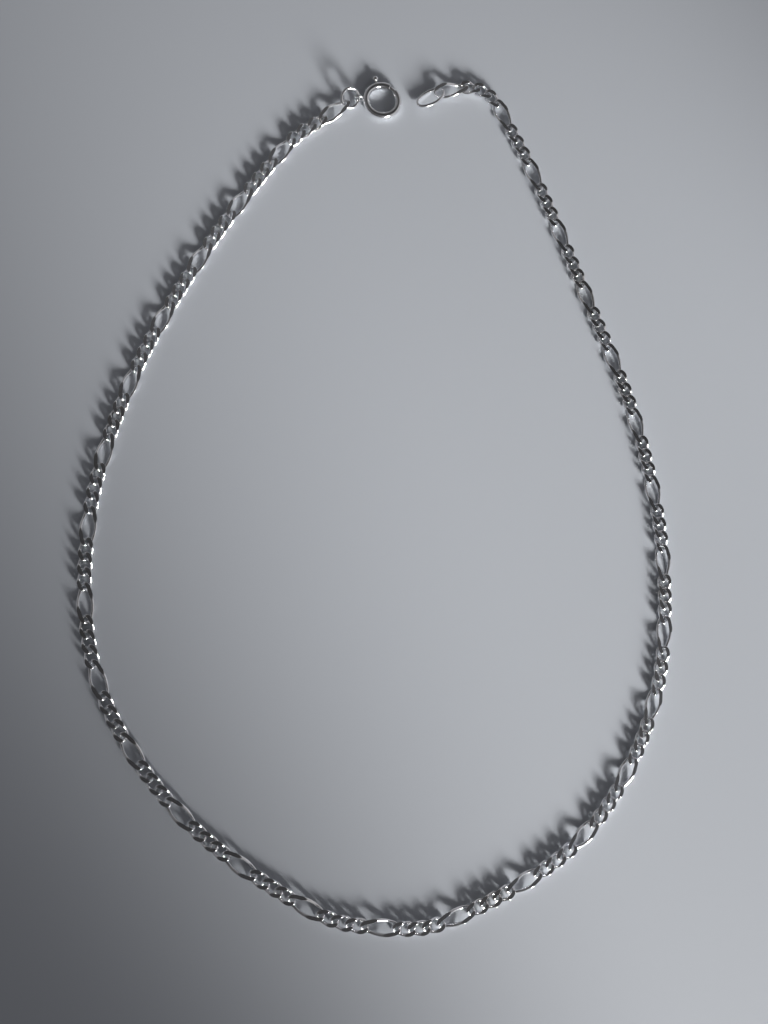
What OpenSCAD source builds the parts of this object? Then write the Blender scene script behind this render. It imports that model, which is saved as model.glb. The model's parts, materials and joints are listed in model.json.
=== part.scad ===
// Three-and-one figaro neck chain with a bolt ring clasp, lying open on a table.
// Millimetres, +Z up. The chain lies flat on its filed faces at z = 0.

/* [Chain] */
// Number of long links, with one at each end of the chain
long_links = 30; // [6:1:48]
// Short links between two long links
short_run = 3; // [1:1:5]
// Length that one short link adds to the chain
short_pitch = 2.85; // [2.6:0.05:3.6]
// Length that one long link adds to the chain
long_pitch = 6.15; // [4.5:0.05:8]
// Diameter of the link wire
wire_d = 0.72; // [0.55:0.01:0.95]
// Room on each side of the neighbour's wire inside a short link
short_side_room = 0.445; // [0.42:0.005:0.8]
// Room on each side of the neighbour's wire inside a long link
long_side_room = 0.62; // [0.45:0.01:1.1]
// Play of one link in the next along the chain
link_play = 0.6; // [0.45:0.01:0.8]
// Thickness of the chain between its two filed faces
filed_thickness = 1.24; // [1.1:0.01:1.6]
// Lean of the link's plane at each of its ends, in degrees
link_twist = 46; // [40:1:50]

/* [Clasp] */
// Outer diameter of the bolt ring
clasp_d = 8.4; // [7:0.1:12]
// Diameter of the bolt ring's tube
tube_d = 1.45; // [1.3:0.05:2]
// Diameter of the sliding bolt
bolt_d = 0.8; // [0.6:0.05:0.9]
// Gap all round the bolt in its bore, and beside the stem in its slot
bolt_clearance = 0.08; // [0.05:0.01:0.15]
// Angle where the mouth starts, counted from the side opposite the eye
mouth_start = 35; // [26:1:45]
// Angle where the mouth ends
mouth_end = 60; // [50:1:75]
// How far the bolt's tip sits in its socket, in degrees
bolt_reach = 8; // [4:1:14]
// How far the tip draws back behind the open mouth, in degrees
bolt_spare = 4; // [2:1:8]
// Angle of the knob with the mouth shut
knob_angle = 104; // [95:1:112]
// Length of the bolt behind its stem, in degrees
bolt_tail = 8; // [6:1:12]
// Diameter of the knob
knob_d = 1.3; // [0.9:0.05:1.6]
// Diameter of the stem that carries the knob
stem_d = 0.5; // [0.35:0.05:0.6]
// Gap between the knob and the tube
knob_gap = 0.25; // [0.1:0.05:0.5]
// Diameter of the eye's wire
eye_wire_d = 0.45; // [0.35:0.05:0.6]
// Gap all round the jump ring's wire in the eye
eye_clearance = 0.38; // [0.3:0.01:0.5]
// Depth to which the eye is soldered into the tube
eye_solder = 0.25; // [0.15:0.05:0.35]

/* [Rings] */
// Outer diameter of the clasp's jump ring
jump_d = 4.4; // [3.8:0.1:5]
// Diameter of the jump ring's wire
jump_wire_d = 0.6; // [0.5:0.05:0.65]
// Length of the oval end ring
end_ring_l = 7.2; // [6:0.1:9]
// Width of the oval end ring
end_ring_w = 4.4; // [3.8:0.1:4.8]
// Radius of the end ring's round ends, to the middle of the wire
end_ring_nose = 1.25; // [1:0.05:1.4]
// Diameter of the end ring's wire
end_wire_d = 0.7; // [0.5:0.05:0.8]

/* [Lay] */
// Direction in which the jump ring leaves the first link
jump_heading = 23; // [10:1:35]
// Direction from the eye to the middle of the bolt ring
clasp_heading = 3; // [-20:1:30]
// Direction in which the end ring leaves the last link
end_heading = 216; // [200:1:222]
// Lean of the jump ring about its own length
jump_lean = 40; // [32:1:42]
// Lean of the end ring about its own length
end_lean = 22; // [20:1:30]
// Height by which the first and last link are lifted at the rings
end_lift = 0.4; // [0.35:0.05:0.5]
// Distance by which the end ring has slid back over the last link
end_slack = 0.45; // [0.2:0.05:0.7]
// Distance by which the end ring lies to the side of the last link
end_aside = 0.2; // [0.1:0.05:0.3]

/* [Hidden] */
$fn = 48;

SILVER = "silver";
BRIGHT_SILVER = "gainsboro";
WIRE_SIDES = 6;
SHORT_SIDES = 10;
LONG_SIDES = 12;
OVAL_SQUARENESS = 0.8;
TWIST_EASE = 0.45;
CURVE_STEPS = 12;
END_WIRE_SIDES = 12;
NOSE_STEPS = 10;
SIDE_STEPS = 10;

// Points that the chain was laid through, from the clasp round to the end ring
ROUTE = [
    [-8.2, 87.65], [-13.55, 83.4], [-21.4, 76.2], [-37.5, 51.8], [-50.5, 24.8], [-57.2, -3.6],
    [-54.3, -32.6], [-38.6, -57.2], [-14.8, -74.8], [-0.5, -78.9], [14.1, -77.6], [39.6, -63.4],
    [54.9, -38.5], [58.4, -9.6], [53.8, 19.6], [43.7, 47.4], [32.6, 74.8], [26.1, 87.6],
    [24.8, 90.5], [22.8, 92.5], [20.2, 93.7], [17.45, 93.7], [11.7, 91.85]
];

// Small helpers

function unit(v) = v / norm(v);
function clip(v, limit) = max(-limit, min(limit, v));
function signed_pow(v, e) = sign(v) * pow(abs(v), e);
function heading(v) = atan2(v.y, v.x);
function toward(angle) = [cos(angle), sin(angle)];
function flat(v) = [v.x, v.y];

// The links

link_count = long_links + (long_links - 1) * short_run;
pattern_pitch = long_pitch + short_run * short_pitch;
chain_length = (long_links - 1) * pattern_pitch + long_pitch;
half_thickness = filed_thickness / 2;
short_half_w = wire_d + short_side_room;
long_half_w = wire_d + long_side_room;
short_half_l = (short_pitch + wire_d + link_play) / 2;
long_half_l = (long_pitch + wire_d + link_play) / 2;

function is_long(i) = i % (short_run + 1) == 0;
function pitch(i) = is_long(i) ? long_pitch : short_pitch;
function link_start(i) =
    floor(i / (short_run + 1)) * pattern_pitch
    + (is_long(i) ? 0 : long_pitch + (i % (short_run + 1) - 1) * short_pitch);

// A point on the middle of a link's wire: a squared oval whose plane leans one way at one end
// and the other way at the other end
function wire_point(half_l, half_w, turn) =
    let (
        along = half_l * signed_pow(cos(turn), OVAL_SQUARENESS),
        across = half_w * signed_pow(sin(turn), OVAL_SQUARENESS),
        lean = -link_twist * signed_pow(cos(turn), TWIST_EASE)
    )
    [along, across * cos(lean), across * sin(lean)];

// One ring of points round the wire, square to it, with its top and bottom cut flat at a height
function wire_ring(middle, k, d, wire_sides, flat_z) =
    let (
        sides = len(middle),
        tangent = unit(middle[(k + 1) % sides] - middle[(k + sides - 1) % sides]),
        away = unit(middle[k] - (middle[k] * tangent) * tangent),
        up = cross(tangent, away)
    )
    [for (j = [0 : wire_sides - 1])
        let (
            turn = 360 * (j + 0.5) / wire_sides,
            p = middle[k] + d / 2 * (cos(turn) * away + sin(turn) * up)
        )
        [p.x, p.y, clip(p.z, flat_z)]];

// A wire bent round a closed path
module closed_wire(middle, d, wire_sides, flat_z) {
    sides = len(middle);
    points = [for (k = [0 : sides - 1]) each wire_ring(middle, k, d, wire_sides, flat_z)];
    faces = [for (k = [0 : sides - 1], j = [0 : wire_sides - 1])
        let (
            next_k = (k + 1) % sides,
            next_j = (j + 1) % wire_sides,
            a = k * wire_sides + j,
            b = k * wire_sides + next_j,
            c = next_k * wire_sides + next_j,
            e = next_k * wire_sides + j
        )
        each [[a, c, b], [a, e, c]]];
    polyhedron(points, faces);
}

module link_solid(half_l, half_w, sides) {
    middle = [for (k = [0 : sides - 1]) wire_point(half_l, half_w, 360 * k / sides)];
    closed_wire(middle, wire_d, WIRE_SIDES, half_thickness);
}

// The lay of the chain: a smooth curve through the route, stretched to the chain's own length

function curve_point(p, q, r, s, t) =
    (2 * q + (r - p) * t + (2 * p - 5 * q + 4 * r - s) * t * t + (3 * q - p - 3 * r + s) * t * t * t) / 2;

last_point = len(ROUTE) - 1;
curve = [
    for (k = [0 : last_point - 1], n = [0 : CURVE_STEPS - 1])
        curve_point(
            ROUTE[max(k - 1, 0)], ROUTE[k], ROUTE[k + 1], ROUTE[min(k + 2, last_point)], n / CURVE_STEPS),
    ROUTE[last_point]
];
function running_length(v) =
    [for (k = 0, s = 0; k < len(v); k = k + 1, s = s + (k < len(v) ? norm(v[k] - v[k - 1]) : 0)) s];
curve_reach = running_length(curve);
stretch = chain_length / curve_reach[len(curve) - 1];
curve_x = [for (k = [0 : len(curve) - 1]) [curve_reach[k] * stretch, curve[k].x * stretch]];
curve_y = [for (k = [0 : len(curve) - 1]) [curve_reach[k] * stretch, curve[k].y * stretch]];
lift_run = long_pitch + 2 * short_pitch;
function lift(s) = end_lift * pow(max(0, 1 - min(s, chain_length - s) / lift_run), 2);
function laid(s) = [lookup(s, curve_x), lookup(s, curve_y), half_thickness + lift(s)];

function link_from(i) = laid(link_start(i));
function link_to(i) = laid(link_start(i) + pitch(i));

module chain(first, past) {
    for (i = [first : past - 1]) {
        way = link_to(i) - link_from(i);
        translate((link_from(i) + link_to(i)) / 2)
            rotate([0, -asin(way.z / norm(way)), heading(way)])
                if (is_long(i)) link_solid(long_half_l, long_half_w, LONG_SIDES);
                else link_solid(short_half_l, short_half_w, SHORT_SIDES);
    }
}

// Where the jump ring, the clasp and the end ring lie, from the chain's first and last joint

jump_r = (jump_d - jump_wire_d) / 2;
eye_r = (jump_wire_d + eye_wire_d) / 2 + eye_clearance;
eye_half = eye_r + eye_wire_d / 2;
tube_r = (clasp_d - tube_d) / 2;
end_half_l = (end_ring_l - end_wire_d) / 2;
end_half_w = (end_ring_w - end_wire_d) / 2;

first_joint = laid(0);
last_joint = laid(chain_length);

jump_z = jump_r * sin(jump_lean) + jump_wire_d / 2;
jump_pass_z = (first_joint.z + eye_half) / 2;
jump_drop = asin((jump_z - jump_pass_z) / (jump_r * sin(jump_lean)));
jump_in_link = flat(first_joint) - (link_play + jump_wire_d) / 2 * toward(jump_heading);
jump_in_eye = jump_in_link + 2 * jump_r * cos(jump_drop) * toward(jump_heading);
jump_middle = (jump_in_link + jump_in_eye) / 2
    + jump_r * sin(jump_drop) * cos(jump_lean) * toward(jump_heading + 90);

eye_reach = clasp_d / 2 + eye_half - eye_solder;
clasp_middle = jump_in_eye + eye_reach * toward(clasp_heading);

end_z = end_half_w * sin(end_lean) + end_wire_d / 2;
end_middle = flat(last_joint)
    + (end_half_l - (link_play + end_wire_d) / 2 - end_slack) * toward(end_heading)
    + end_aside * toward(end_heading + 90);

// The middle of the whole necklace's outline, which is moved to x = 0, y = 0

function link_reach(i) = is_long(i) ? long_half_l + wire_d / 2 : short_half_l + wire_d / 2;
function link_middle(i) = flat(link_from(i) + link_to(i)) / 2;
reach_points = [
    for (i = [0 : link_count - 1])
        let (along = toward(heading(link_to(i) - link_from(i))))
        each [link_middle(i) - link_reach(i) * along, link_middle(i) + link_reach(i) * along],
    for (i = [0 : link_count - 1])
        let (
            across = toward(heading(link_to(i) - link_from(i)) + 90),
            half_w = (is_long(i) ? long_half_w : short_half_w) + wire_d / 2
        )
        each [link_middle(i) - half_w * across, link_middle(i) + half_w * across],
    clasp_middle + (clasp_d / 2 + knob_gap + knob_d) * toward(clasp_heading + knob_angle)
];
reach_x = [for (p = reach_points) p.x];
reach_y = [for (p = reach_points) p.y];
home = -[min(reach_x) + max(reach_x), min(reach_y) + max(reach_y)] / 2;

module at_home() {
    translate([home.x, home.y, 0]) children();
}

// The two halves of the chain

half_count = floor(link_count / 2);

module chain_clasp_side() {
    color(SILVER) at_home() chain(0, half_count);
}

module chain_ring_side() {
    color(SILVER) at_home() chain(half_count, link_count);
}

// The clasp, in its own frame: the eye is at 180 degrees and the mouth in front of it

tip_angle = mouth_start - bolt_reach;
travel = mouth_end + bolt_spare - tip_angle;
bore_d = bolt_d + 2 * bolt_clearance;
bore_end_gap = 1.5;
slot_w = stem_d + 2 * bolt_clearance;
knob_r = clasp_d / 2 + knob_gap + knob_d / 2;

module arc_of(d, r, from, to) {
    rotate([0, 0, from])
        rotate_extrude(angle = to - from)
            translate([r, 0])
                circle(d = d);
}

module radial_pin(d, from_r, to_r, angle) {
    rotate([0, 0, angle])
        translate([from_r, 0, 0])
            rotate([0, 90, 0])
                cylinder(d = d, h = to_r - from_r);
}

module clasp_place() {
    at_home()
        translate([clasp_middle.x, clasp_middle.y, tube_d / 2])
            rotate([0, 0, clasp_heading])
                children();
}

module tube() {
    arc_of(tube_d, tube_r, mouth_end, mouth_start + 360);
}

module bolt_bore() {
    arc_of(bore_d, tube_r, tip_angle - bore_end_gap, mouth_start + 1);
    arc_of(bore_d, tube_r, mouth_end - 1, knob_angle + bolt_tail + travel + bore_end_gap);
}

module stem_slot() {
    end_room = asin(slot_w / 2 / tube_r);
    rotate([0, 0, knob_angle - end_room])
        rotate_extrude(angle = travel + 2 * end_room)
            translate([tube_r, -slot_w / 2])
                square([tube_d, slot_w]);
}

module eye() {
    translate([-eye_reach, 0, eye_half - tube_d / 2])
        rotate([90, 0, 0])
            rotate_extrude()
                translate([eye_r, 0])
                    circle(d = eye_wire_d);
}

module clasp_ring() {
    color(SILVER)
        clasp_place()
            union() {
                difference() {
                    tube();
                    bolt_bore();
                    stem_slot();
                }
                eye();
            }
}

module clasp_bolt() {
    color(BRIGHT_SILVER)
        clasp_place()
            union() {
                arc_of(bolt_d, tube_r, tip_angle, knob_angle + bolt_tail);
                radial_pin(stem_d, tube_r, knob_r, knob_angle);
                rotate([0, 0, knob_angle])
                    translate([knob_r, 0, 0])
                        sphere(d = knob_d);
            }
}

// The two plain rings

module clasp_jump_ring() {
    color(SILVER)
        at_home()
            translate([jump_middle.x, jump_middle.y, jump_z])
                rotate([0, 0, jump_heading])
                    rotate([jump_lean, 0, 0])
                        rotate_extrude()
                            translate([jump_r, 0])
                                circle(d = jump_wire_d);
}

// The end ring is an oval of four arcs: a small one round each nose and a large one along each side
nose_x = end_half_l - end_ring_nose;
side_r = (pow(end_half_l, 2) + pow(end_half_w, 2) - 2 * end_half_l * end_ring_nose)
    / (2 * (end_half_w - end_ring_nose));
side_y = side_r - end_half_w;
nose_half_angle = atan2(side_y, nose_x);

function arc_points(middle, r, from, to, steps) =
    [for (n = [0 : steps - 1]) let (turn = from + (to - from) * n / steps) concat(middle + r * toward(turn), 0)];
end_ring_path = concat(
    arc_points([nose_x, 0], end_ring_nose, -nose_half_angle, nose_half_angle, NOSE_STEPS),
    arc_points([0, -side_y], side_r, nose_half_angle, 180 - nose_half_angle, SIDE_STEPS),
    arc_points([-nose_x, 0], end_ring_nose, 180 - nose_half_angle, 180 + nose_half_angle, NOSE_STEPS),
    arc_points([0, side_y], side_r, 180 + nose_half_angle, 360 - nose_half_angle, SIDE_STEPS)
);

module end_ring() {
    color(SILVER)
        at_home()
            translate([end_middle.x, end_middle.y, end_z])
                rotate([0, 0, end_heading])
                    rotate([end_lean, 0, 0])
                        closed_wire(end_ring_path, end_wire_d, END_WIRE_SIDES, end_wire_d);
}

chain_clasp_side();
chain_ring_side();
clasp_ring();
clasp_bolt();
clasp_jump_ring();
end_ring();
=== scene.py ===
# %% [markdown]
# A figaro neck chain with a bolt ring clasp, dressed for its picture.
# The solids already stand where they belong. This lesson opens them, makes the fine links, rings and clasp that stand
# in their places, polishes the silver, and sets the table, the light and the camera.

# %% Open the solids
import bpy
import json
import math
import numpy as np
from mathutils import Matrix, Vector


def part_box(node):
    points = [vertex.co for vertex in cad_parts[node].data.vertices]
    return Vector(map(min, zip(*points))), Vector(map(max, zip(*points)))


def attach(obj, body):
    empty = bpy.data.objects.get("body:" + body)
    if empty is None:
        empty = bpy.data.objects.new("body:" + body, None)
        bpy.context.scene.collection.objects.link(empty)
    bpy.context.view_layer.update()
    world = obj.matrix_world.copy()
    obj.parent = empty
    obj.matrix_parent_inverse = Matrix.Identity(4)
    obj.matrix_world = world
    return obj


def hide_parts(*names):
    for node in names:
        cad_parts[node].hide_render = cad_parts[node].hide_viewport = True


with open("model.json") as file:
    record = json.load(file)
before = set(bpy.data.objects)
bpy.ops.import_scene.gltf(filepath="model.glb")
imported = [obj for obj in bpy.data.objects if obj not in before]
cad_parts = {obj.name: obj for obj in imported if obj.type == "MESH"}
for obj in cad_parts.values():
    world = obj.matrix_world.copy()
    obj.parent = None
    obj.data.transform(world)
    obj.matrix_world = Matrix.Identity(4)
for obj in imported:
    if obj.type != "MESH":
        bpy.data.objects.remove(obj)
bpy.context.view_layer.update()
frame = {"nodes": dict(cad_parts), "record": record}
print("solids:", sorted(frame["nodes"]))

# %% [markdown]
# Sizes come first. Blender works in metres and a chain is made in millimetres, so one value turns one into the other.
# The sizes are those of the solids, so what is made here takes the same room.

# %% Sizes of the links
MM = 0.001
WIRE_D = 0.72 * MM
HALF_THICKNESS = 0.62 * MM
SHORT_PITCH = 2.85 * MM
LONG_PITCH = 6.15 * MM
LINK_PLAY = 0.6 * MM
SHORT_HALF_W = 1.165 * MM
LONG_HALF_W = 1.34 * MM
LINK_TWIST = math.radians(46)
FACET_RIM = 0.05 * MM
SAME_POINT = 0.001 * MM


def half_length(pitch):
    return (pitch + WIRE_D + LINK_PLAY) / 2


print("long link, outside:", round((2 * half_length(LONG_PITCH) + WIRE_D) / MM, 2), "mm")

# %% [markdown]
# Operators act on whatever is selected, so every step starts with nothing selected.
# These small helpers do that, put a finished piece's place into its mesh, and turn its faces outwards.


# %% Helpers for selecting and finishing
def nothing_selected():
    for thing in bpy.context.selected_objects:
        thing.select_set(False)


def only(piece):
    nothing_selected()
    piece.select_set(True)
    bpy.context.view_layer.objects.active = piece
    return piece


def place_in_mesh(piece):
    only(piece)
    bpy.ops.object.transform_apply(location=True, rotation=True, scale=True)
    return piece


def outward(piece):
    only(piece)
    bpy.ops.object.mode_set(mode="EDIT")
    bpy.ops.mesh.select_all(action="SELECT")
    bpy.ops.mesh.remove_doubles(threshold=SAME_POINT)
    bpy.ops.mesh.normals_make_consistent(inside=False)
    bpy.ops.object.mode_set(mode="OBJECT")
    return piece


def smooth(piece, degrees):
    only(piece)
    bpy.ops.object.shade_smooth_by_angle(angle=math.radians(degrees))
    return piece


def joined(pieces, name):
    nothing_selected()
    for piece in pieces:
        piece.select_set(True)
    bpy.context.view_layer.objects.active = pieces[0]
    bpy.ops.object.join()
    pieces[0].name = name
    return pieces[0]


def select_faces(piece, wanted):
    only(piece)
    bpy.ops.object.mode_set(mode="EDIT")
    bpy.ops.mesh.select_mode(type="FACE")
    bpy.ops.mesh.select_all(action="DESELECT")
    bpy.ops.object.mode_set(mode="OBJECT")
    count = 0
    for face in piece.data.polygons:
        face.select = wanted(face)
        count += face.select
    bpy.ops.object.mode_set(mode="EDIT")
    return count


# %% [markdown]
# A curb link is an oval of wire whose ends are twisted opposite ways, so that each link lies flat on the next.
# It could be a torus bent by a modifier, but then the wire thins where it bends most.
# A closed Bezier curve with a round bevel is bent wire in every way: it keeps its thickness along the whole path.
# The path goes through the same few points as the solid link, and automatic handles make it a smooth bend.


# %% Path of a link's wire
FULLNESS = 0.8
TWIST_EASE = 0.45
SHORT_PATH_POINTS = 10
LONG_PATH_POINTS = 12
NEARLY_ZERO = 1e-9


def eased(value, power):
    return 0.0 if abs(value) < NEARLY_ZERO else math.copysign(abs(value) ** power, value)


def link_path(half_l, half_w, count):
    path = []
    for step in range(count):
        turn = 2 * math.pi * step / count
        along = half_l * eased(math.cos(turn), FULLNESS)
        across = half_w * eased(math.sin(turn), FULLNESS)
        lean = -LINK_TWIST * eased(math.cos(turn), TWIST_EASE)
        path.append(Vector((along, across * math.cos(lean), across * math.sin(lean))))
    return path


short_path = link_path(half_length(SHORT_PITCH), SHORT_HALF_W, SHORT_PATH_POINTS)
long_path = link_path(half_length(LONG_PITCH), LONG_HALF_W, LONG_PATH_POINTS)
print("points on a short link:", len(short_path), "and on a long link:", len(long_path))


# %% Bend a wire along a closed path
def bent_wire(name, path, wire_d, bend_steps, round_steps):
    nothing_selected()
    bpy.ops.curve.primitive_bezier_circle_add(radius=MM)
    wire = bpy.context.object
    points = wire.data.splines[0].bezier_points
    points.add(len(path) - len(points))
    for point, place in zip(points, path):
        point.co = place
        point.handle_left_type = point.handle_right_type = "AUTO"
    wire.data.resolution_u = bend_steps
    wire.data.bevel_depth = wire_d / 2
    wire.data.bevel_resolution = round_steps // 2 - 2
    bpy.ops.object.convert(target="MESH")
    wire = bpy.context.object
    wire.name = name
    return outward(wire)


# %% [markdown]
# After it is linked, a curb chain is filed flat above and below, which is what gives it its bright facets.
# A bisect cuts the wire at the filed height, throws away what stands above it and closes the cut with a flat face.
# A narrow inset round each facet holds its middle flat, so that smooth shading rounds the polished rim and no more.


# %% File a link flat
BEND_STEPS = 4
WIRE_SIDES = 16
SMOOTH_BELOW = 60
LEVEL = 0.999
LEAST_FACET = 0.1 * MM * MM


def filed(link):
    only(link)
    for side in (1, -1):
        bpy.ops.object.mode_set(mode="EDIT")
        bpy.ops.mesh.select_all(action="SELECT")
        bpy.ops.mesh.bisect(
            plane_co=(0, 0, side * HALF_THICKNESS), plane_no=(0, 0, side), use_fill=True, clear_outer=True,
            threshold=SAME_POINT)
        bpy.ops.object.mode_set(mode="OBJECT")
    facets = select_faces(link, lambda face: abs(face.normal.z) > LEVEL and face.area > LEAST_FACET)
    bpy.ops.mesh.inset(thickness=FACET_RIM, depth=0, use_individual=True)
    bpy.ops.object.mode_set(mode="OBJECT")
    print(link.name, "has", facets, "facets")
    return smooth(link, SMOOTH_BELOW)


short_link = filed(bent_wire("short link", short_path, WIRE_D, BEND_STEPS, WIRE_SIDES))
long_link = filed(bent_wire("long link", long_path, WIRE_D, BEND_STEPS, WIRE_SIDES))
for link in (short_link, long_link):
    print(link.name, [round(v / MM, 2) for v in link.dimensions], "mm,", len(link.data.polygons), "faces")

# %% [markdown]
# Each fine link has to lie exactly where its solid lies. The places could be worked out again from the route, but the
# solids hold them already. A merged copy of a chain's solid is separated into its loose links, and the middle, the
# length direction and the slope of each are measured from its points.


# %% Measure where each link lies
LONGER_THAN_SHORT = 1.2 * (SHORT_PITCH + 3 * WIRE_D)


def link_places(node):
    nothing_selected()
    copy = bpy.data.objects.new("measured links", node.data.copy())
    bpy.context.collection.objects.link(copy)
    only(copy)
    bpy.ops.object.mode_set(mode="EDIT")
    bpy.ops.mesh.select_all(action="SELECT")
    bpy.ops.mesh.remove_doubles(threshold=SAME_POINT)
    bpy.ops.mesh.separate(type="LOOSE")
    bpy.ops.object.mode_set(mode="OBJECT")
    places = []
    for part in list(bpy.context.selected_objects):
        points = np.array([v.co for v in part.data.vertices], float)
        middle = points.mean(axis=0)
        _, ways = np.linalg.eigh(np.cov((points - middle).T))
        along = Vector(ways[:, 2])
        across = Vector((0, 0, 1)).cross(along).normalized()
        up = along.cross(across)
        turn = Matrix((along, across, up)).transposed().to_4x4()
        length = np.ptp((points - middle) @ ways[:, 2])
        places.append((length > LONGER_THAN_SHORT, Matrix.Translation(middle) @ turn))
        bpy.data.objects.remove(part)
    return places


def chain_of_links(name, node_name):
    links = []
    for is_long, place in link_places(frame["nodes"][node_name]):
        link = (long_link if is_long else short_link).copy()
        link.data = link.data.copy()
        link.matrix_world = place
        bpy.context.collection.objects.link(link)
        links.append(link)
    print(name, len(links), "links,", sum(len(link.data.polygons) for link in links), "faces")
    return place_in_mesh(joined(links, name))


chain_clasp_side = chain_of_links("fine_links_clasp_side", "chain_clasp_side")
chain_ring_side = chain_of_links("fine_links_ring_side", "chain_ring_side")
bpy.data.objects.remove(short_link)
bpy.data.objects.remove(long_link)

# %% [markdown]
# The bolt ring is a round tube bent into a ring, open at the mouth. Inside it runs the bolt, which the thumb draws
# back by its knob through a slot in the outer wall. A circle spun round the ring's middle makes the tube, and its
# flat ends are inset and pushed in to make the bore's two mouths.

# %% Sizes of the clasp
CLASP_D = 8.4 * MM
TUBE_D = 1.45 * MM
TUBE_R = (CLASP_D - TUBE_D) / 2
TUBE_STEPS = 134
TUBE_SIDES = 32
BOLT_D = 0.8 * MM
BOLT_STEPS = 34
BOLT_SIDES = 24
BORE_D = 0.96 * MM
STEM_D = 0.5 * MM
MOUTH_BEVEL = 0.1 * MM
MOUTH_DOME = 0.08 * MM
BORE_DEPTH = 0.45 * MM
SLOT_W = 0.66 * MM
SLOT_RIM = 0.02 * MM
SLOT_DEPTH = 0.3 * MM
TIP_BEVEL = 0.14 * MM
KNOB_D = 1.3 * MM
KNOB_GAP = 0.25 * MM
KNOB_R = CLASP_D / 2 + KNOB_GAP + KNOB_D / 2
EYE_WIRE_D = 0.45 * MM
EYE_R = 0.905 * MM
EYE_OVERLAP = 0.25 * MM
EYE_REACH = CLASP_D / 2 + EYE_R + EYE_WIRE_D / 2 - EYE_OVERLAP
SOLDER_R = 0.3 * MM
SOLDER_SINK = 0.02 * MM
SOLDER_LIFT = 0.16 * MM
SOLDER_SQUASH = 0.9
CLASP_HEADING = math.radians(3)
MOUTH_START = math.radians(35)
MOUTH_END = math.radians(60)
TIP_ANGLE = math.radians(27)
KNOB_ANGLE = math.radians(104)
BOLT_END = math.radians(112)
TRAVEL = math.radians(37)
CRISP_ABOVE = 40
FOUR_SIDED = 4
clasp_middle = Vector(frame["record"]["behaviour"]["joints"][0]["pos_m"])
print("clasp middle:", [round(v / MM, 2) for v in clasp_middle])


# %% Spin a round bar into an arc
def on_clasp(angle, radius, height=0.0):
    turn = CLASP_HEADING + angle
    return clasp_middle + Vector((radius * math.cos(turn), radius * math.sin(turn), height))


def arc_bar(name, bar_d, start, end, steps, round_steps):
    nothing_selected()
    bpy.ops.mesh.primitive_circle_add(
        vertices=round_steps, radius=bar_d / 2, fill_type="NGON",
        location=on_clasp(start, TUBE_R), rotation=(math.pi / 2, 0, CLASP_HEADING + start))
    bar = place_in_mesh(bpy.context.object)
    bar.name = name
    bpy.ops.object.mode_set(mode="EDIT")
    bpy.ops.mesh.select_all(action="SELECT")
    bpy.ops.mesh.spin(steps=steps, angle=-(end - start), center=clasp_middle, axis=(0, 0, 1))
    bpy.ops.object.mode_set(mode="OBJECT")
    return outward(bar)


def angle_of(point):
    return (math.atan2(point.y - clasp_middle.y, point.x - clasp_middle.x) - CLASP_HEADING) % (2 * math.pi)


tube = arc_bar("fine_clasp_ring", TUBE_D, MOUTH_END, MOUTH_START + 2 * math.pi, TUBE_STEPS, TUBE_SIDES)
angles = [math.degrees(angle_of(v.co)) for v in tube.data.vertices]
print("tube runs from", round(min(a for a in angles if a > 50)), "round to", round(max(a for a in angles if a < 45)))


# %% Open the bore and cut the slot
ends = select_faces(tube, lambda face: len(face.vertices) > FOUR_SIDED)
bpy.ops.mesh.inset(thickness=MOUTH_BEVEL, depth=MOUTH_DOME, use_individual=True)
bpy.ops.mesh.inset(thickness=(TUBE_D - BORE_D) / 2 - MOUTH_BEVEL, depth=0, use_individual=True)
bpy.ops.mesh.inset(thickness=0, depth=-BORE_DEPTH, use_individual=True)
bpy.ops.object.mode_set(mode="OBJECT")


def in_slot(face):
    angle = angle_of(face.center)
    room = math.asin(SLOT_W / 2 / TUBE_R)
    out = math.hypot(face.center.x - clasp_middle.x, face.center.y - clasp_middle.y) > TUBE_R
    low = abs(face.center.z - clasp_middle.z) < SLOT_W / 2
    return out and low and KNOB_ANGLE - room < angle < KNOB_ANGLE + TRAVEL + room


slot_faces = select_faces(tube, in_slot)
bpy.ops.mesh.inset(thickness=SLOT_RIM, depth=-SLOT_DEPTH)
bpy.ops.object.mode_set(mode="OBJECT")
print("open ends:", ends, "and faces pushed in for the slot:", slot_faces)

# %% [markdown]
# The eye is a small closed ring of thinner wire, soldered upright to the back of the tube. A torus is already that
# ring. A flattened ball of solder fills the corner where it meets the tube.

# %% Solder the eye on
nothing_selected()
bpy.ops.mesh.primitive_torus_add(
    major_segments=40, minor_segments=14, major_radius=EYE_R, minor_radius=EYE_WIRE_D / 2,
    location=on_clasp(math.pi, EYE_REACH, EYE_R + EYE_WIRE_D / 2 - clasp_middle.z),
    rotation=(math.pi / 2, 0, CLASP_HEADING))
eye = place_in_mesh(bpy.context.object)
nothing_selected()
bpy.ops.mesh.primitive_uv_sphere_add(
    segments=20, ring_count=12, radius=SOLDER_R,
    location=on_clasp(math.pi, CLASP_D / 2 - SOLDER_SINK, SOLDER_LIFT))
solder = bpy.context.object
solder.scale = (SOLDER_SQUASH, 1.0, 1.0)
solder = place_in_mesh(solder)
fine_clasp_ring = smooth(joined([tube, eye, solder], "fine_clasp_ring"), CRISP_ABOVE)
print("clasp ring:", [round(v / MM, 2) for v in fine_clasp_ring.dimensions], "mm")

# %% [markdown]
# The bolt is a bar bent to the ring's own curve, so it slides in the tube. Its tip is bevelled to find the socket.
# The stem stands out through the slot and carries a round knob.

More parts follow.
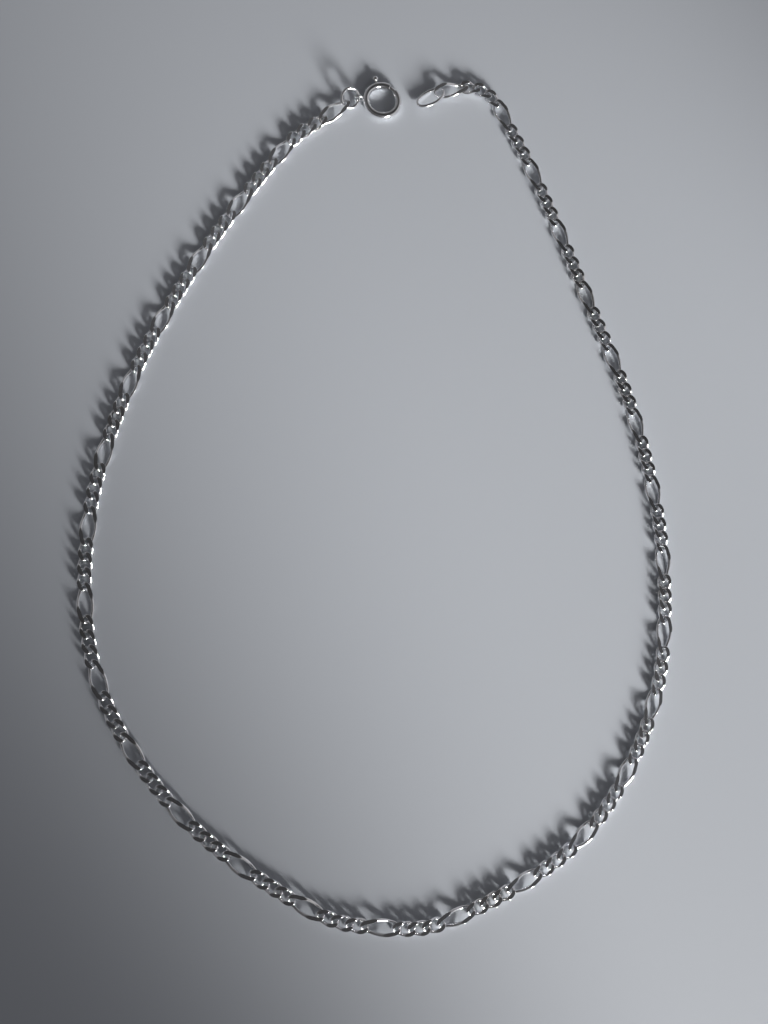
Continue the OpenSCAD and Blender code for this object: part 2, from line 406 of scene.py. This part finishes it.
# %% Make the bolt, its stem and its knob
bolt = arc_bar("fine_bolt", BOLT_D, TIP_ANGLE, BOLT_END, BOLT_STEPS, BOLT_SIDES)
select_faces(bolt, lambda face: len(face.vertices) > FOUR_SIDED)
bpy.ops.mesh.bevel(offset=TIP_BEVEL, segments=3, affect="EDGES")
bpy.ops.object.mode_set(mode="OBJECT")

nothing_selected()
bpy.ops.mesh.primitive_cylinder_add(
    vertices=20, radius=STEM_D / 2, depth=KNOB_R - TUBE_R,
    location=on_clasp(KNOB_ANGLE, (KNOB_R + TUBE_R) / 2), rotation=(0, math.pi / 2, CLASP_HEADING + KNOB_ANGLE))
stem = place_in_mesh(bpy.context.object)
nothing_selected()
bpy.ops.mesh.primitive_uv_sphere_add(
    segments=32, ring_count=20, radius=KNOB_D / 2,
    location=on_clasp(KNOB_ANGLE, KNOB_R), rotation=(0, math.pi / 2, CLASP_HEADING + KNOB_ANGLE))
knob = place_in_mesh(bpy.context.object)
fine_bolt = smooth(joined([bolt, stem, knob], "fine_bolt"), CRISP_ABOVE)
print("bolt:", [round(v / MM, 2) for v in fine_bolt.dimensions], "mm")

# %% [markdown]
# The jump ring is a plain round ring that leans as it lies, and a torus at its size and lean is enough.
# The end ring is an oval of four arcs, so its wire is bent along a path like the links'.


# %% Make the jump ring
JUMP_R = 1.9 * MM
JUMP_WIRE_D = 0.6 * MM
JUMP_LEAN = math.radians(40)
JUMP_HEADING = math.radians(23)


def middle_of(node_name):
    low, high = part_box(node_name)
    return (low + high) / 2


nothing_selected()
bpy.ops.mesh.primitive_torus_add(
    major_segments=72, minor_segments=18, major_radius=JUMP_R, minor_radius=JUMP_WIRE_D / 2,
    location=middle_of("clasp_jump_ring"), rotation=(JUMP_LEAN, 0, JUMP_HEADING))
fine_jump_ring = smooth(place_in_mesh(bpy.context.object), SMOOTH_BELOW)
fine_jump_ring.name = "fine_jump_ring"
print("jump ring:", [round(v / MM, 2) for v in fine_jump_ring.dimensions], "mm")

# %% Bend the end ring
END_RING_L = 7.2 * MM
END_RING_W = 4.4 * MM
END_WIRE_D = 0.7 * MM
END_BEND_STEPS = 5
END_SIDES = 18
END_LEAN = math.radians(22)
END_HEADING = math.radians(216)
NOSE_R = 1.25 * MM
ARC_STEPS = 5
END_HALF_L = (END_RING_L - END_WIRE_D) / 2
END_HALF_W = (END_RING_W - END_WIRE_D) / 2
nose_x = END_HALF_L - NOSE_R
side_r = (END_HALF_L ** 2 + END_HALF_W ** 2 - 2 * END_HALF_L * NOSE_R) / (2 * (END_HALF_W - NOSE_R))
side_y = side_r - END_HALF_W
nose_half = math.atan2(side_y, nose_x)


def arc_points(x, y, radius, start, end, steps):
    turns = [start + (end - start) * n / steps for n in range(steps)]
    return [Vector((x + radius * math.cos(t), y + radius * math.sin(t), 0)) for t in turns]


oval = arc_points(nose_x, 0, NOSE_R, -nose_half, nose_half, ARC_STEPS)
oval += arc_points(0, -side_y, side_r, nose_half, math.pi - nose_half, ARC_STEPS)
oval += arc_points(-nose_x, 0, NOSE_R, math.pi - nose_half, math.pi + nose_half, ARC_STEPS)
oval += arc_points(0, side_y, side_r, math.pi + nose_half, 2 * math.pi - nose_half, ARC_STEPS)
fine_end_ring = smooth(bent_wire("fine_end_ring", oval, END_WIRE_D, END_BEND_STEPS, END_SIDES), SMOOTH_BELOW)
fine_end_ring.rotation_euler = (END_LEAN, 0, END_HEADING)
fine_end_ring.location = middle_of("end_ring")
place_in_mesh(fine_end_ring)
print("end ring:", [round(v / MM, 2) for v in fine_end_ring.dimensions], "mm")

# %% [markdown]
# Polished silver is nearly all reflection, so its finish lives in small changes of roughness: a thumb's haze, fine
# wiping scratches and a breath of tarnish. All the pieces share these marks in different strengths, so they are made
# once as a node group that gives a colour, a roughness and a height.


# %% Marks of wear that all the silver shares
def wear_group():
    group = bpy.data.node_groups.new("silver wear", "ShaderNodeTree")
    for name, kind in (("Bright", "NodeSocketColor"), ("Dull", "NodeSocketColor"), ("Smooth", "NodeSocketFloat"),
                       ("Hazy", "NodeSocketFloat"), ("Scratch", "NodeSocketFloat")):
        group.interface.new_socket(name, in_out="INPUT", socket_type=kind)
    for name, kind in (("Color", "NodeSocketColor"), ("Roughness", "NodeSocketFloat"),
                       ("Height", "NodeSocketFloat")):
        group.interface.new_socket(name, in_out="OUTPUT", socket_type=kind)
    nodes, links = group.nodes, group.links
    given = nodes.new("NodeGroupInput")
    out = nodes.new("NodeGroupOutput")
    coords = nodes.new("ShaderNodeTexCoord")

    haze = nodes.new("ShaderNodeTexNoise")
    haze.inputs["Scale"].default_value = 420
    haze.inputs["Detail"].default_value = 4
    links.new(coords.outputs["Object"], haze.inputs["Vector"])
    rough = nodes.new("ShaderNodeMapRange")
    rough.inputs["From Min"].default_value = 0.35
    rough.inputs["From Max"].default_value = 0.75
    links.new(haze.outputs["Fac"], rough.inputs["Value"])
    links.new(given.outputs["Smooth"], rough.inputs["To Min"])
    links.new(given.outputs["Hazy"], rough.inputs["To Max"])
    links.new(rough.outputs["Result"], out.inputs["Roughness"])

    tarnish = nodes.new("ShaderNodeTexNoise")
    tarnish.inputs["Scale"].default_value = 130
    tarnish.inputs["Detail"].default_value = 6
    links.new(coords.outputs["Object"], tarnish.inputs["Vector"])
    edge = nodes.new("ShaderNodeMapRange")
    edge.inputs["From Min"].default_value = 0.5
    edge.inputs["From Max"].default_value = 0.72
    links.new(tarnish.outputs["Fac"], edge.inputs["Value"])
    tint = nodes.new("ShaderNodeMix")
    tint.data_type = "RGBA"
    links.new(edge.outputs["Result"], tint.inputs["Factor"])
    links.new(given.outputs["Bright"], tint.inputs["A"])
    links.new(given.outputs["Dull"], tint.inputs["B"])
    links.new(tint.outputs["Result"], out.inputs["Color"])

    turned = nodes.new("ShaderNodeMapping")
    turned.inputs["Rotation"].default_value = (0.4, 0.9, 0.6)
    turned.inputs["Scale"].default_value = (9000, 1400, 5000)
    links.new(coords.outputs["Object"], turned.inputs["Vector"])
    wiped = nodes.new("ShaderNodeTexNoise")
    wiped.inputs["Scale"].default_value = 1
    wiped.inputs["Detail"].default_value = 3
    links.new(turned.outputs["Vector"], wiped.inputs["Vector"])
    strength = nodes.new("ShaderNodeMath")
    strength.operation = "MULTIPLY"
    links.new(wiped.outputs["Fac"], strength.inputs[0])
    links.new(given.outputs["Scratch"], strength.inputs[1])
    links.new(strength.outputs[0], out.inputs["Height"])
    return group


silver_wear = wear_group()
print("wear group gives:", [s.name for s in silver_wear.interface.items_tree if s.in_out == "OUTPUT"])


# %% Mix a silver finish
MARK_DEPTH = 0.01 * MM


def silver(name, bright, dull, smooth_value, hazy_value, scratch, bump):
    made = bpy.data.materials.new(name)
    made.use_nodes = True
    nodes, links = made.node_tree.nodes, made.node_tree.links
    shader = nodes["Principled BSDF"]
    shader.inputs["Metallic"].default_value = 1.0
    wear = nodes.new("ShaderNodeGroup")
    wear.node_tree = silver_wear
    wear.inputs["Bright"].default_value = (*bright, 1)
    wear.inputs["Dull"].default_value = (*dull, 1)
    wear.inputs["Smooth"].default_value = smooth_value
    wear.inputs["Hazy"].default_value = hazy_value
    wear.inputs["Scratch"].default_value = scratch
    relief = nodes.new("ShaderNodeBump")
    relief.inputs["Strength"].default_value = bump
    relief.inputs["Distance"].default_value = MARK_DEPTH
    links.new(wear.outputs["Color"], shader.inputs["Base Color"])
    links.new(wear.outputs["Roughness"], shader.inputs["Roughness"])
    links.new(wear.outputs["Height"], relief.inputs["Height"])
    links.new(relief.outputs["Normal"], shader.inputs["Normal"])
    return made


link_silver = silver("polished link silver", (0.93, 0.935, 0.95), (0.80, 0.79, 0.77), 0.06, 0.16, 1.0, 0.25)
clasp_silver = silver("polished clasp silver", (0.92, 0.925, 0.935), (0.82, 0.81, 0.79), 0.05, 0.14, 0.8, 0.2)
bolt_silver = silver("bright bolt silver", (0.95, 0.95, 0.955), (0.86, 0.85, 0.84), 0.04, 0.10, 0.5, 0.15)
print("finishes:", [m.name for m in (link_silver, clasp_silver, bolt_silver)])

# %% [markdown]
# Each fine piece now rides on its body, stands for its solid, and takes its finish.

# %% Put each piece on its body
for piece, node, body, finish in (
    (chain_clasp_side, "chain_clasp_side", "necklace", link_silver),
    (chain_ring_side, "chain_ring_side", "necklace", link_silver),
    (fine_clasp_ring, "clasp_ring", "necklace", clasp_silver),
    (fine_jump_ring, "clasp_jump_ring", "necklace", clasp_silver),
    (fine_end_ring, "end_ring", "necklace", clasp_silver),
    (fine_bolt, "clasp_bolt", "bolt", bolt_silver),
):
    piece.data.materials.clear()
    piece.data.materials.append(finish)
    frame["nodes"][node].data.materials.clear()
    frame["nodes"][node].data.materials.append(finish)
    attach(piece, body)
    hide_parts(node)
    print(piece.name, "lowest point", round(min(v.co.z for v in piece.data.vertices) / MM, 3), "mm")

# %% [markdown]
# The necklace lies on a plain pale table. The picture's light comes from low down on the right and in front, which
# throws long soft shadows to the upper left. Its beam is narrow and aimed to the right of the loop, so the table
# grows darker towards the lower left corner, as it does in the photograph.

# %% Lay the table
TABLE_SIZE = 3
TABLE_DROP = 0.01 * MM
nothing_selected()
bpy.ops.mesh.primitive_plane_add(size=TABLE_SIZE, location=(0, 0, -TABLE_DROP))
table = bpy.context.object
table.name = "table"
pale = bpy.data.materials.new("plain pale table")
pale.use_nodes = True
pale.node_tree.nodes["Principled BSDF"].inputs["Base Color"].default_value = (0.471, 0.499, 0.540, 1)
pale.node_tree.nodes["Principled BSDF"].inputs["Roughness"].default_value = 0.65
table.data.materials.append(pale)
print("table at", round(table.location.z / MM, 3), "mm")


# %% Set the lights
def soft_light(name, place, aim, width, depth, spread, power, tint):
    nothing_selected()
    bpy.ops.object.light_add(type="AREA", location=place)
    light = bpy.context.object
    light.name = name
    light.data.shape = "RECTANGLE"
    light.data.size = width
    light.data.size_y = depth
    light.data.spread = spread
    light.data.energy = power
    light.data.color = tint
    light.rotation_euler = (Vector(aim) - Vector(place)).to_track_quat("-Z", "Y").to_euler()
    return light


soft_light(
    "low window", place=(0.248, -0.32, 0.108), aim=(0.060, -0.004, 0), width=0.20, depth=0.135,
    spread=math.radians(21), power=0.220, tint=(1.0, 0.985, 0.97))

# %% [markdown]
# Mirror silver shows whatever stands round it. Here the room is bright low down and towards the right, and dark in
# its near left corner. Overhead, where the camera is, it is dim, and dimmer still towards the far right. That is what
# gives the flat facets their dark grey and the round shoulders of the wire their thin bright lines. The world's own
# shader paints this by direction.


# %% Paint the room round the table
def room_world():
    world = bpy.data.worlds.new("room round the table")
    world.use_nodes = True
    nodes, links = world.node_tree.nodes, world.node_tree.links
    coords = nodes.new("ShaderNodeTexCoord")

    def along(way, low, high, at_low, at_high):
        dot = nodes.new("ShaderNodeVectorMath")
        dot.operation = "DOT_PRODUCT"
        dot.inputs[1].default_value = way
        links.new(coords.outputs["Generated"], dot.inputs[0])
        span = nodes.new("ShaderNodeMapRange")
        span.interpolation_type = "SMOOTHSTEP"
        for name, value in (("From Min", low), ("From Max", high), ("To Min", at_low), ("To Max", at_high)):
            span.inputs[name].default_value = value
        links.new(dot.outputs["Value"], span.inputs["Value"])
        return span.outputs["Result"]

    def worked(operation, first, second):
        result = nodes.new("ShaderNodeMath")
        result.operation = operation
        links.new(first, result.inputs[0])
        links.new(second, result.inputs[1])
        return result.outputs[0]

    low_walls = along((0, 0, 1), 0.50, 0.86, 0.47, 0.0)
    right_side = along((0.86, -0.30, 0), -0.8, 0.8, 0.27, 0.95)
    dark_corner = along((-0.60, -0.80, 0), 0.45, 0.80, 1.0, 0.10)
    ceiling = along((0, 0, 1), 0.90, 0.985, 0.078, 0.036)
    far_corner = along((0.8, 0.6, 0), 0.30, 0.45, 1.0, 0.45)
    walls = worked("MULTIPLY", worked("MULTIPLY", low_walls, right_side), dark_corner)
    overhead = worked("MULTIPLY", ceiling, far_corner)
    links.new(worked("ADD", walls, overhead), nodes["Background"].inputs["Strength"])
    nodes["Background"].inputs["Color"].default_value = (0.95, 0.94, 0.975, 1)
    return world


bpy.context.scene.world = room_world()
bpy.context.scene.view_settings.view_transform = "Standard"
print("world:", bpy.context.scene.world.name)

# %% [markdown]
# The camera stands where the photograph was taken: about 18 cm above the table and almost straight over the loop,
# leaning a little, so the near links look larger than the far ones.

# %% Place the camera
CAMERA_PLACE = (-23.85 * MM, -32.66 * MM, 177.4 * MM)
LOOK = (0.1294, 0.1415, -0.9815)
UP_IN_PICTURE = (-0.0185, 0.9899, 0.1403)
SENSOR_W = 36
LENS = 31.64
NEAREST_SEEN = 0.005
nothing_selected()
bpy.ops.object.camera_add(location=CAMERA_PLACE)
camera = bpy.context.object
look = Vector(LOOK).normalized()
side = look.cross(Vector(UP_IN_PICTURE)).normalized()
over = side.cross(look)
camera.rotation_euler = Matrix((side, over, -look)).transposed().to_euler()
camera.data.sensor_width = SENSOR_W
camera.data.lens = LENS
camera.data.clip_start = NEAREST_SEEN
bpy.context.scene.camera = camera
print("camera at", [round(v / MM, 1) for v in camera.location], "mm")
